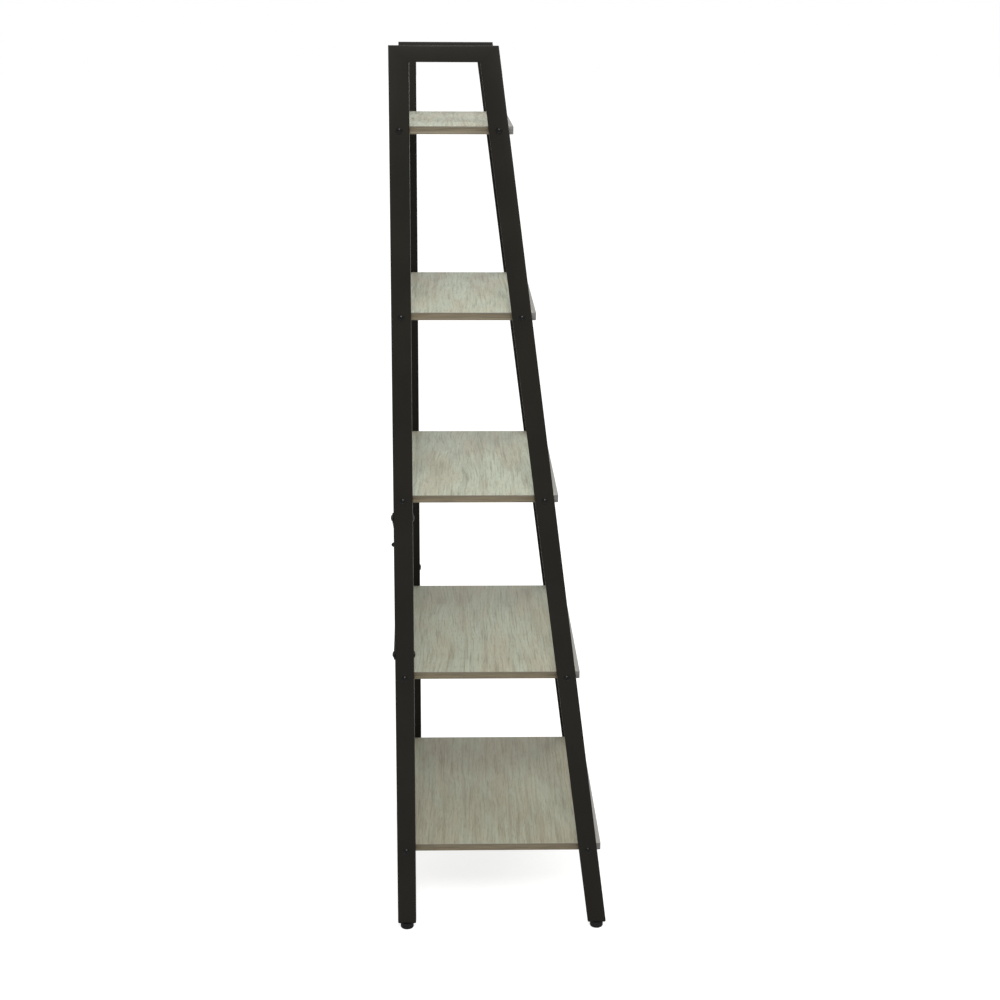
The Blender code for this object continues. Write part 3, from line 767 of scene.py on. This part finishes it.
def board(number, tree, sizes):
    node = f"shelf_board_{number}"
    extents = extent(node)
    place = middle(node)
    obj = new_object(node + "_base", bmesh.new())
    obj.location = place
    run_tree(obj, tree, {
        "Width": extents.x, "Depth": extents.y, "Thickness": extents.z, "Corner radius": sizes.corner,
        "Hole radius": sizes.hole, "Hole depth": sizes.hole_depth,
        "Rear line": middle(f"shelf_bolt_{number}_right_rear").y - place.y,
        "Front line": middle(f"shelf_bolt_{number}_right_front").y - place.y,
        "Laminate": finish_of("grey_oak_laminate"), "Edge": finish_of("board_edge_band"),
        "Core": finish_of("pressed_wood_core"),
    })
    ease_edges(obj, sizes.edge, 50)
    piece = settled(obj, f"board_{number}")
    rise = piece.data.attributes.new("rise", "FLOAT", "POINT")
    rise.data.foreach_set("value", [(vert.co.z - place.z) / extents.z for vert in piece.data.vertices])
    belongs(piece, "frame", [node])


# Fasteners


def button_rings(head, height, sizes, count):
    """Rings of a button head from the middle of its hexagon socket to its underside at height 0."""
    dome = height - sizes.rim
    ball = (head**2 + dome**2) / (2 * dome)
    lip = sizes.socket * 0.62
    floor = height - sizes.socket_depth

    def on_dome(radius):
        return radius, sizes.rim + math.sqrt(ball**2 - radius**2) - (ball - dome)

    crown = on_dome(lip)[1]
    rings = turned(count, (0.0, floor - 0.0004))
    rings += [hexagon(sizes.socket, floor, count), hexagon(sizes.socket, crown - 0.0002, count)]
    slope = [on_dome(lip + (head - lip) * i / 7) for i in range(1, 8)]
    return rings + turned(count, (lip, crown), *slope, (head, 0.0002), (head - 0.0002, 0.0))


def thread_tree():
    """Cuts a right-hand screw thread into a turned piece, between two heights on its own Z."""
    tree, shape, value = new_tree(
        "screw_thread", dict.fromkeys(("Start", "End", "Pitch", "Depth", "Run-out"), "Float")
    )
    x, y, z = axes(tree, geometry(tree, "InputPosition"))
    radius = (x * x + y * y).maths("SQRT")
    turn = z / value["Pitch"] - y.maths("ARCTAN2", x) / (2 * math.pi)
    groove = (turn.maths("FRACT") * 2.0 - 1.0).maths("ABSOLUTE")
    room = (z - value["Start"]).maths("MINIMUM", value["End"] - z) / value["Run-out"]
    fade = room.maths("MAXIMUM", 0.0).maths("MINIMUM", 1.0)
    shrink = (groove * fade * value["Depth"]) / radius * -1.0 + 1.0
    moved = joined(tree, x * shrink, y * shrink, z)
    end_tree(tree, geometry(tree, "SetPosition", {"Geometry": shape, "Position": moved}))
    return tree


def seat_tree():
    """Fits a copy of a fastener at each seat, along the seat's facing, each turned by a seeded amount."""
    tree, seats, value = new_tree("fit_at_seats", {
        "Fastener": "Object", "Stand-off": "Float", "Seed": "Int", "Finish": "Material",
    })
    facing = geometry(tree, "InputNamedAttribute", {"Name": "facing"}, data_type="FLOAT_VECTOR")
    aim = add_node(tree, "FunctionNodeAlignRotationToVector", {"Vector": facing}, axis="Z")
    any_turn = {"Min": 0.0, "Max": 2 * math.pi, "Seed": value["Seed"]}
    turn = add_node(tree, "FunctionNodeRandomValue", any_turn, data_type="FLOAT").outputs["Value"]
    spin = add_node(tree, "FunctionNodeAxisAngleToRotation", {"Axis": (0, 0, 1), "Angle": turn})
    rotation = add_node(
        tree, "FunctionNodeRotateRotation",
        {"Rotation": aim.outputs[0], "Rotate By": spin.outputs[0]}, rotation_space="LOCAL",
    )
    lift = add_node(tree, "ShaderNodeVectorMath", {0: facing, "Scale": value["Stand-off"]}, operation="SCALE")
    raised = geometry(tree, "SetPosition", {"Geometry": seats, "Offset": lift.outputs[0]})
    shape = add_node(tree, "GeometryNodeObjectInfo", {"Object": value["Fastener"], "As Instance": True})
    copies = geometry(tree, "InstanceOnPoints", {
        "Points": raised, "Instance": shape.outputs["Geometry"], "Rotation": rotation.outputs[0],
    })
    end_tree(tree, copies, value["Finish"])
    return tree


def threaded(obj, start, end, pitch, depth):
    run_tree(obj, tree_named("screw_thread", thread_tree), {
        "Start": start, "End": end, "Pitch": pitch, "Depth": depth, "Run-out": pitch,
    })
    return obj


def fitted(name, fastener, places, finish, seed, stand_off=0.0):
    """One plain mesh of the fastener at every (place, facing). The single fastener is removed."""
    mesh = bpy.data.meshes.new(name + "_seats")
    mesh.from_pydata([place for place, _ in places], [], [])
    facing = mesh.attributes.new("facing", "FLOAT_VECTOR", "POINT")
    facing.data.foreach_set("vector", [part for _, aim in places for part in aim])
    obj = linked(name + "_seats", mesh)
    run_tree(obj, tree_named("fit_at_seats", seat_tree), {
        "Fastener": fastener, "Stand-off": stand_off, "Seed": seed, "Finish": finish_of(finish),
    })
    piece = settled(obj, name)
    bpy.data.objects.remove(fastener, do_unlink=True)
    return piece


def bolt(name, length, plain, sizes, count=18):
    """A button-head bolt along its own Z, its head's underside at 0."""
    radius = sizes.bolt
    fillet = 0.0003
    point = 0.0006
    rings = button_rings(sizes.head, sizes.head_height, sizes, count)
    rings += turned(
        count, (radius + fillet, 0.0), (radius, -fillet),
        *shank(radius, -plain, point - length, sizes.pitch / 4),
        (radius - point, -length), (0.0, -length),
    )
    return settled(threaded(skin(name, rings), point - length, -plain, sizes.pitch, sizes.thread), name)


def sleeve_nut(name, length, sizes, count=24):
    """A domed head on a sleeve with a blind bore."""
    bore = sizes.bolt + 0.0003
    sleeve = sizes.sleeve
    rings = button_rings(sizes.sleeve_head, sizes.sleeve_head_height, sizes, count)
    rings += turned(
        count, (sleeve + 0.0002, 0.0), (sleeve, -0.0002),
        (sleeve, 0.0003 - length), (sleeve - 0.0003, -length),
        (bore + 0.0002, -length), (bore, 0.0002 - length), (bore, -0.0008), (0.0, -0.0004),
    )
    return skin(name, rings)


def cap_nut(name, height, sizes, count=36):
    """A hexagon nut with a domed cap, its open face at 0."""
    bore = sizes.bolt + 0.0003
    width = sizes.cap_hex
    reach = width * 0.5 * 1.03
    chamfer = 0.0006
    top = sizes.cap_hex_height
    centre = height - sizes.cap_dome
    rings = turned(count, (0.0, 0.0066), (bore, 0.0060), (bore, 0.0004), (bore + 0.0004, 0.0))
    rings += [hexagon(width, 0.0, count, reach), hexagon(width, chamfer, count)]
    rings += [hexagon(width, top - chamfer, count), hexagon(width, top, count, reach)]
    lowest = math.asin((top - centre) / sizes.cap_dome)
    angles = [lowest + (math.pi / 2 - lowest) * i / 8 for i in range(8)]
    dome = [(sizes.cap_dome * math.cos(a), centre + sizes.cap_dome * math.sin(a)) for a in angles]
    return skin(name, rings + turned(count, *dome, (0.0, height)))


def insert(name, length, outside, sizes, count=18):
    """A threaded insert: coarse thread outside, a bore and a hexagon drive inside, its mouth at 0."""
    bore = sizes.bolt + 0.0001
    top, bottom = -0.0006, 0.0008 - length
    rings = turned(
        count, (outside - 0.0005, 0.0), *shank(outside, top, bottom, 0.0005),
        (outside - 0.0008, -length), (bore, -length), (bore, -0.004),
    )
    rings += [hexagon(2 * bore, -0.0038, count), hexagon(2 * bore, 0.0, count)]
    return settled(threaded(skin(name, rings, loop=True), bottom, top, pitch=0.0025, depth=0.0007), name)


def board_bolts():
    """(number, side's sign, place, node) of every shelf bolt."""
    for number in BOARD_NUMBERS:
        for side, sign in SIDES.items():
            for end in ENDS:
                node = f"shelf_bolt_{number}_{side}_{end}"
                yield number, sign, middle(node), node


def shelf_bolts(sizes):
    nodes = [node for _, _, _, node in board_bolts()]
    length = extent(nodes[0]).x - sizes.head_height
    seat = extent(nodes[0]).x / 2 - sizes.head_height
    places = [
        ((place.x + sign * seat, place.y, place.z), (sign, 0.0, 0.0)) for _, sign, place, _ in board_bolts()
    ]
    single = bolt("shelf_bolt", length, sizes.plain, sizes)
    piece = fitted("shelf_bolts", single, places, "black_zinc", sizes.turn_seed)
    belongs(piece, "frame", nodes)


def board_inserts(boards, sizes):
    places = []
    for number, sign, place, _ in board_bolts():
        end_x = extent(f"shelf_board_{number}").x / 2
        places.append(((sign * end_x, place.y, place.z), (sign, 0.0, 0.0)))
    single = insert("insert", boards.insert_length, boards.hole - 0.00005, sizes)
    piece = fitted("board_inserts", single, places, "turned_brass", sizes.turn_seed, stand_off=-0.0003)
    belongs(piece, "frame", [])


# Back brace


def strap(name, node, left, right, sizes):
    """A flat strap between two bolt places, bowed backwards between the posts."""
    low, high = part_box(node)
    bow = high.y - low.y - sizes.thickness
    along = (right - left).normalized()
    reach = (right - left).length / 2 + sizes.overhang
    bm = bmesh.new()
    bmesh.ops.create_grid(bm, x_segments=56, y_segments=1, size=1.0)
    bmesh.ops.scale(bm, verts=bm.verts, vec=(reach, sizes.width / 2, 1.0))
    corners = [vert for vert in bm.verts if abs(vert.co.x) > reach - 10 * SAME_POINT]
    bmesh.ops.bevel(bm, geom=corners, offset=sizes.corner, segments=8, profile=0.5, affect="VERTICES")
    free_half = (FRAME_X - TUBE_WIDTH / 2) / along.x - sizes.width / 2
    for vert in bm.verts:
        part = min(abs(vert.co.x) / free_half, 1.0)
        vert.co.z = bow * math.cos(part * math.pi / 2) ** 2
    obj = new_object(node + "_base", bm)
    backwards = Vector((0, 1, 0))
    basis = Matrix((along, backwards.cross(along), backwards)).transposed()
    centre = (left + right) / 2
    obj.matrix_world = Matrix.Translation((centre.x, low.y, centre.z)) @ basis.to_4x4()
    thick = obj.modifiers.new("thickness", "SOLIDIFY")
    thick.thickness = sizes.thickness
    thick.offset = 1.0
    ease_edges(obj, sizes.edge, 60)
    hole = settings().frames.bolt_hole
    spots = [(spot.x, low.y, spot.z) for spot in (left, right, centre)]
    piece = drilled(obj, name, [(spot, backwards, hole, sizes.width * 2) for spot in spots])
    belongs(piece, "frame", [node], "black_powder_coat")


def brace_straps(sizes):
    for name, left_level, right_level in (("inner", "upper", "lower"), ("outer", "lower", "upper")):
        left, right = middle("brace_bolt_left_" + left_level), middle("brace_bolt_right_" + right_level)
        left.y = right.y = 0.0
        strap("strap_" + name, "brace_strap_" + name, left, right, sizes)


def brace_fasteners(sizes):
    names = [f"{side}_{level}" for side in SIDES for level in LEVELS]
    bolts = ["brace_bolt_" + name for name in names]
    nuts = ["sleeve_nut_" + name for name in names]
    long_bolt = bolt("brace_bolt", extent(bolts[0]).y - sizes.head_height, sizes.plain, sizes)
    short_bolt = bolt("centre_bolt", extent("brace_centre_bolt").y - sizes.head_height, 0.003, sizes)
    sleeve = sleeve_nut("sleeve_nut", extent(nuts[0]).y - sizes.sleeve_head_height, sizes)
    cap = cap_nut("cap_nut", extent("brace_cap_nut").y, sizes)
    centre_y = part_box("brace_centre_bolt")[0].y + sizes.head_height
    for name, single, nodes, seat_y, aim, turn in (
        ("brace_bolts", long_bolt, bolts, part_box(bolts[0])[1].y - sizes.head_height, 1.0, 0),
        ("sleeve_nuts", sleeve, nuts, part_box(nuts[0])[0].y + sizes.sleeve_head_height, -1.0, 1),
        ("crossing_bolt", short_bolt, ["brace_centre_bolt"], centre_y, -1.0, 0),
        ("crossing_nut", cap, ["brace_cap_nut"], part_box("brace_cap_nut")[0].y, 1.0, 0),
    ):
        spots = [middle(node) for node in nodes]
        places = [((spot.x, seat_y, spot.z), (0.0, aim, 0.0)) for spot in spots]
        piece = fitted(name, single, places, "black_zinc", sizes.turn_seed + turn)
        belongs(piece, "frame", nodes)


# Feet


def foot_pad(side, end, sizes, count=48):
    """A round glide with a pocket for the stem's head and a shallow moulded recess under it."""
    node = f"foot_pad_{side}_{end}"
    radius, height = extent(node).x / 2, extent(node).z
    stem = f"foot_stem_{side}_{end}"
    stem_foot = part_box(stem)[0].z
    pocket = extent(stem).x / 2 + sizes.play
    base = stem_foot - sizes.play
    pocket_top = stem_foot + sizes.head_height + sizes.play
    neck = sizes.stem + sizes.play
    groove = radius - 0.00012
    lower, upper = sizes.lower_round, sizes.upper_round
    obj = skin(node + "_base", turned(
        count, (0.0, 0.0005), (0.0062, 0.0005), (0.0065, 0.0),
        *reversed(rounding(radius - lower, lower, lower, 0.0, 7)),
        (radius, height * 0.55), (groove, height * 0.56), (groove, height * 0.575), (radius, height * 0.585),
        *reversed(rounding(radius - upper, height - upper, upper, math.pi / 2, 4)),
        (neck + 0.0004, height), (neck, height - 0.0004), (neck, pocket_top),
        (pocket, pocket_top), (pocket, base), (0.0, base),
    ))
    place = middle(node)
    obj.location = (place.x, place.y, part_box(node)[0].z)
    piece = settled(obj, f"pad_{side}_{end}")
    belongs(piece, f"foot_{side}_{end}", [node], "moulded_black_plastic")


def foot_stem(side, end, sizes, count=24):
    """A threaded stem on a round head."""
    node = f"foot_stem_{side}_{end}"
    head, top = extent(node).x / 2, extent(node).z
    radius = sizes.stem
    seat = sizes.head_height
    start = seat + 0.0006
    obj = threaded(skin(node + "_base", turned(
        count, (0.0, 0.0), (head - 0.0003, 0.0), (head, 0.0003), (head, seat - 0.0003), (head - 0.0003, seat),
        (radius + 0.0002, seat), (radius, seat + 0.0002), *shank(radius, start, top - 0.001, sizes.pitch / 6),
        (radius - 0.001, top), (0.0, top),
    )), start, top - 0.0005, sizes.pitch, sizes.thread)
    place = middle(node)
    obj.location = (place.x, place.y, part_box(node)[0].z)
    piece = settled(obj, f"stem_{side}_{end}")
    belongs(piece, f"stem_{side}_{end}", [node], "bright_zinc")


def plug_outline(half_x, half_y, corner, shift, height):
    """Twenty-four points of a rounded rectangle, six to a corner, in the order of a circle's."""
    points = []
    for quarter, (across, along) in enumerate(((1, 1), (-1, 1), (-1, -1), (1, -1))):
        for i in range(6):
            a = math.pi / 2 * (quarter + i / 5)
            x = across * (half_x - corner) + corner * math.cos(a)
            y = along * (half_y - corner) + corner * math.sin(a)
            points.append(Vector((x, y + shift, height)))
    return points


def tube_plug(side, end, sizes):
    """A moulded insert: a flange under the tube, a ribbed body in it and an upright bore for the stem."""
    node = f"tube_plug_{side}_{end}"
    low, high = (corner.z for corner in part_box(node))
    slope = LEG_SLOPE if end == "front" else 0.0
    lean = math.hypot(1.0, slope)
    frames = settings().frames
    seat = low + sizes.flange
    ribs = frames.wall + sizes.play
    core = ribs + 0.0008
    hole = sizes.stem + sizes.play
    flange = 0.0004

    def ring(height, cut, corner=0.001):
        shift = slope * (height - TUBE_END) if height > seat + 10 * SAME_POINT else 0.0
        return plug_outline(TUBE_WIDTH / 2 - cut, TUBE_DEPTH * lean / 2 - cut * lean, corner, shift, height)

    rings = turned(24, (hole + 0.0004, low))
    edge = (low, flange + 0.0003), (low + 0.0003, flange), (seat - 0.0002, flange), (seat, flange + 0.0002)
    rings += [ring(height, cut, frames.corner) for height, cut in edge]
    rings.append(ring(seat, core))
    height = seat + 0.002
    while height + 0.0012 < high - 0.0015:
        rib = (0.0, core), (0.0002, ribs), (0.0010, ribs), (0.0012, core)
        rings += [ring(height + up, cut) for up, cut in rib]
        height += sizes.rib_space
    rings += [ring(high - 0.0008, core), ring(high, core + 0.0008)]
    rings += turned(24, (hole + 0.0003, high), (hole, high - 0.0003), (hole, low + 0.0004))
    obj = skin(node + "_base", rings, loop=True)
    foot = middle(f"foot_stem_{side}_{end}")
    obj.location = (foot.x, foot.y, 0.0)
    belongs(settled(obj, f"plug_{side}_{end}"), "frame", [node], "moulded_black_plastic")


# Stage


def studio_floor(stage):
    """A large pale floor that glows, more to the camera than onto the shelf."""
    bm = bmesh.new()
    bmesh.ops.create_circle(bm, cap_ends=True, segments=96, radius=stage.floor)
    floor = new_object("studio_floor", bm)
    finish = Finish("pale_floor", 0.8)
    cloud = finish.noise(finish.place, 1.4, 2.0)
    finish.set("Base Color", finish.mixed((0.46, 0.46, 0.46), (cloud, (0.48, 0.48, 0.48))))
    finish.set("Specular IOR Level", 0.0)
    finish.set("Emission Color", (1.0, 1.0, 1.0, 1.0))
    seen = Field(finish.tree, finish.add("ShaderNodeLightPath").outputs["Is Camera Ray"])
    finish.set("Emission Strength", seen * (stage.glow - stage.bounce) + stage.bounce)
    floor.data.materials.append(finish.material)


def white_surround(strength):
    """A white world that lights the shelf with a strength and is plain white to the camera."""
    world = bpy.data.worlds.new("studio")
    world.use_nodes = True
    tree = world.node_tree
    soft = tree.nodes["Background"]
    soft.inputs["Color"].default_value = (1.0, 1.0, 0.995, 1.0)
    soft.inputs["Strength"].default_value = strength
    white = add_node(tree, "ShaderNodeBackground", {"Color": (1.0, 1.0, 1.0, 1.0), "Strength": 1.0})
    seen = add_node(tree, "ShaderNodeLightPath").outputs["Is Camera Ray"]
    both = add_node(tree, "ShaderNodeMixShader", {0: seen, 1: soft.outputs[0], 2: white.outputs[0]})
    tree.links.new(both.outputs[0], tree.nodes["World Output"].inputs[0])
    bpy.context.scene.world = world


def aimed(light, source):
    """Turns a light so that it shines from a direction."""
    light.rotation_euler = Vector(source).to_track_quat("Z", "Y").to_euler()


def round_light(name, place, width, power):
    """A round area light aimed at the middle of the shelf."""
    data = bpy.data.lights.new(name, "AREA")
    data.shape = "DISK"
    data.size = width
    data.energy = power
    light = linked(name, data)
    light.location = place
    aimed(light, Vector(place) - Vector((0.0, 0.0, SHELF_HEIGHT / 2)))
    light.visible_camera = False


def studio_light(stage):
    """A white surround, broad light from overhead, a softbox by the camera and a rim light in front."""
    white_surround(stage.ambient)
    sun = bpy.data.lights.new("overhead", "SUN")
    sun.energy = stage.sun
    sun.angle = stage.sun_size
    sun.color = (1.0, 0.995, 0.98)
    aimed(linked("overhead", sun), OVERHEAD_FROM)
    round_light("softbox", SOFTBOX_PLACE, SOFTBOX_WIDTH, stage.softbox)
    round_light("rim_light", RIM_LIGHT_PLACE, RIM_LIGHT_WIDTH, stage.rim)


def studio_camera(stage):
    """The camera, from its heading, tilt and roll."""
    data = bpy.data.cameras.new("camera")
    data.sensor_width = 36.0
    data.lens = stage.lens
    data.shift_y = stage.rise
    data.clip_end = 200.0
    camera = linked("camera", data)
    level = math.cos(stage.tilt)
    forward = Vector((math.cos(stage.heading) * level, math.sin(stage.heading) * level, -math.sin(stage.tilt)))
    right = forward.cross(Vector((0, 0, 1))).normalized()
    above = right.cross(forward)
    side = right * math.cos(stage.roll) + above * math.sin(stage.roll)
    upward = above * math.cos(stage.roll) - right * math.sin(stage.roll)
    basis = Matrix((side, upward, -forward)).transposed().to_4x4()
    camera.matrix_world = Matrix.Translation(stage.place) @ basis
    bpy.context.scene.camera = camera


# Operators


class SHELF_OT_side_frames(bpy.types.Operator):
    """Build the two welded tube side frames"""

    bl_idname = "shelf.side_frames"
    bl_label = "Side frames"

    def execute(self, context):
        for side in SIDES:
            side_frame(side, settings().frames)
        return {"FINISHED"}


class SHELF_OT_boards(bpy.types.Operator):
    """Build the five boards"""

    bl_idname = "shelf.boards"
    bl_label = "Boards"

    def execute(self, context):
        tree = tree_named("board", board_tree)
        for number in BOARD_NUMBERS:
            board(number, tree, settings().boards)
        return {"FINISHED"}


class SHELF_OT_board_inserts(bpy.types.Operator):
    """Fit the threaded inserts in the ends of the boards"""

    bl_idname = "shelf.board_inserts"
    bl_label = "Board inserts"

    def execute(self, context):
        board_inserts(settings().boards, settings().fasteners)
        return {"FINISHED"}


class SHELF_OT_shelf_bolts(bpy.types.Operator):
    """Fit the bolts that hold the boards"""

    bl_idname = "shelf.shelf_bolts"
    bl_label = "Shelf bolts"

    def execute(self, context):
        shelf_bolts(settings().fasteners)
        return {"FINISHED"}


class SHELF_OT_brace_straps(bpy.types.Operator):
    """Build the two crossed straps of the back brace"""

    bl_idname = "shelf.brace_straps"
    bl_label = "Brace straps"

    def execute(self, context):
        brace_straps(settings().brace)
        return {"FINISHED"}


class SHELF_OT_brace_fasteners(bpy.types.Operator):
    """Fit the back brace's bolts, sleeve nuts and cap nut"""

    bl_idname = "shelf.brace_fasteners"
    bl_label = "Brace fasteners"

    def execute(self, context):
        brace_fasteners(settings().fasteners)
        return {"FINISHED"}


class SHELF_OT_tube_plugs(bpy.types.Operator):
    """Build the plugs in the lower ends of the tubes"""

    bl_idname = "shelf.tube_plugs"
    bl_label = "Tube plugs"

    def execute(self, context):
        for side in SIDES:
            for end in ENDS:
                tube_plug(side, end, settings().feet)
        return {"FINISHED"}


class SHELF_OT_levelling_feet(bpy.types.Operator):
    """Build the foot pads and their threaded stems"""

    bl_idname = "shelf.levelling_feet"
    bl_label = "Levelling feet"

    def execute(self, context):
        for side in SIDES:
            for end in ENDS:
                foot_pad(side, end, settings().feet)
                foot_stem(side, end, settings().feet)
        return {"FINISHED"}


class SHELF_OT_stage(bpy.types.Operator):
    """Set up the floor, the lights and the camera"""

    bl_idname = "shelf.stage"
    bl_label = "Stage"

    def execute(self, context):
        stage = settings().stage
        studio_floor(stage)
        studio_light(stage)
        studio_camera(stage)
        bpy.context.scene.view_settings.view_transform = "Standard"
        return {"FINISHED"}


OPERATORS = (
    SHELF_OT_side_frames,
    SHELF_OT_boards,
    SHELF_OT_board_inserts,
    SHELF_OT_shelf_bolts,
    SHELF_OT_brace_straps,
    SHELF_OT_brace_fasteners,
    SHELF_OT_tube_plugs,
    SHELF_OT_levelling_feet,
    SHELF_OT_stage,
)


class SHELF_PT_sidebar(bpy.types.Panel):
    """Sizes, colours and build steps of the ladder shelf"""

    bl_idname = "SHELF_PT_sidebar"
    bl_label = "Ladder shelf"
    bl_space_type = "VIEW_3D"
    bl_region_type = "UI"
    bl_category = "Ladder shelf"

    def draw(self, context):
        for name, group in GROUPS.items():
            values = getattr(context.scene.ladder_shelf, name)
            box = self.layout.box()
            box.label(text=name.capitalize())
            for key in group.__annotations__:
                box.prop(values, key)
        for operator in OPERATORS:
            self.layout.operator(operator.bl_idname)


CLASSES = (*GROUPS.values(), ShelfSettings, *OPERATORS, SHELF_PT_sidebar)


def register():
    for made in CLASSES:
        bpy.utils.register_class(made)
    bpy.types.Scene.ladder_shelf = PointerProperty(
        type=ShelfSettings, name="Ladder shelf", description="Sizes and colours of the ladder shelf"
    )


def unregister():
    del bpy.types.Scene.ladder_shelf
    for made in reversed(CLASSES):
        bpy.utils.unregister_class(made)


def main():
    register()
    bpy.ops.shelf.side_frames()
    bpy.ops.shelf.boards()
    bpy.ops.shelf.board_inserts()
    bpy.ops.shelf.shelf_bolts()
    bpy.ops.shelf.brace_straps()
    bpy.ops.shelf.brace_fasteners()
    bpy.ops.shelf.tube_plugs()
    bpy.ops.shelf.levelling_feet()
    bpy.ops.shelf.stage()


if __name__ == "__main__":
    main()
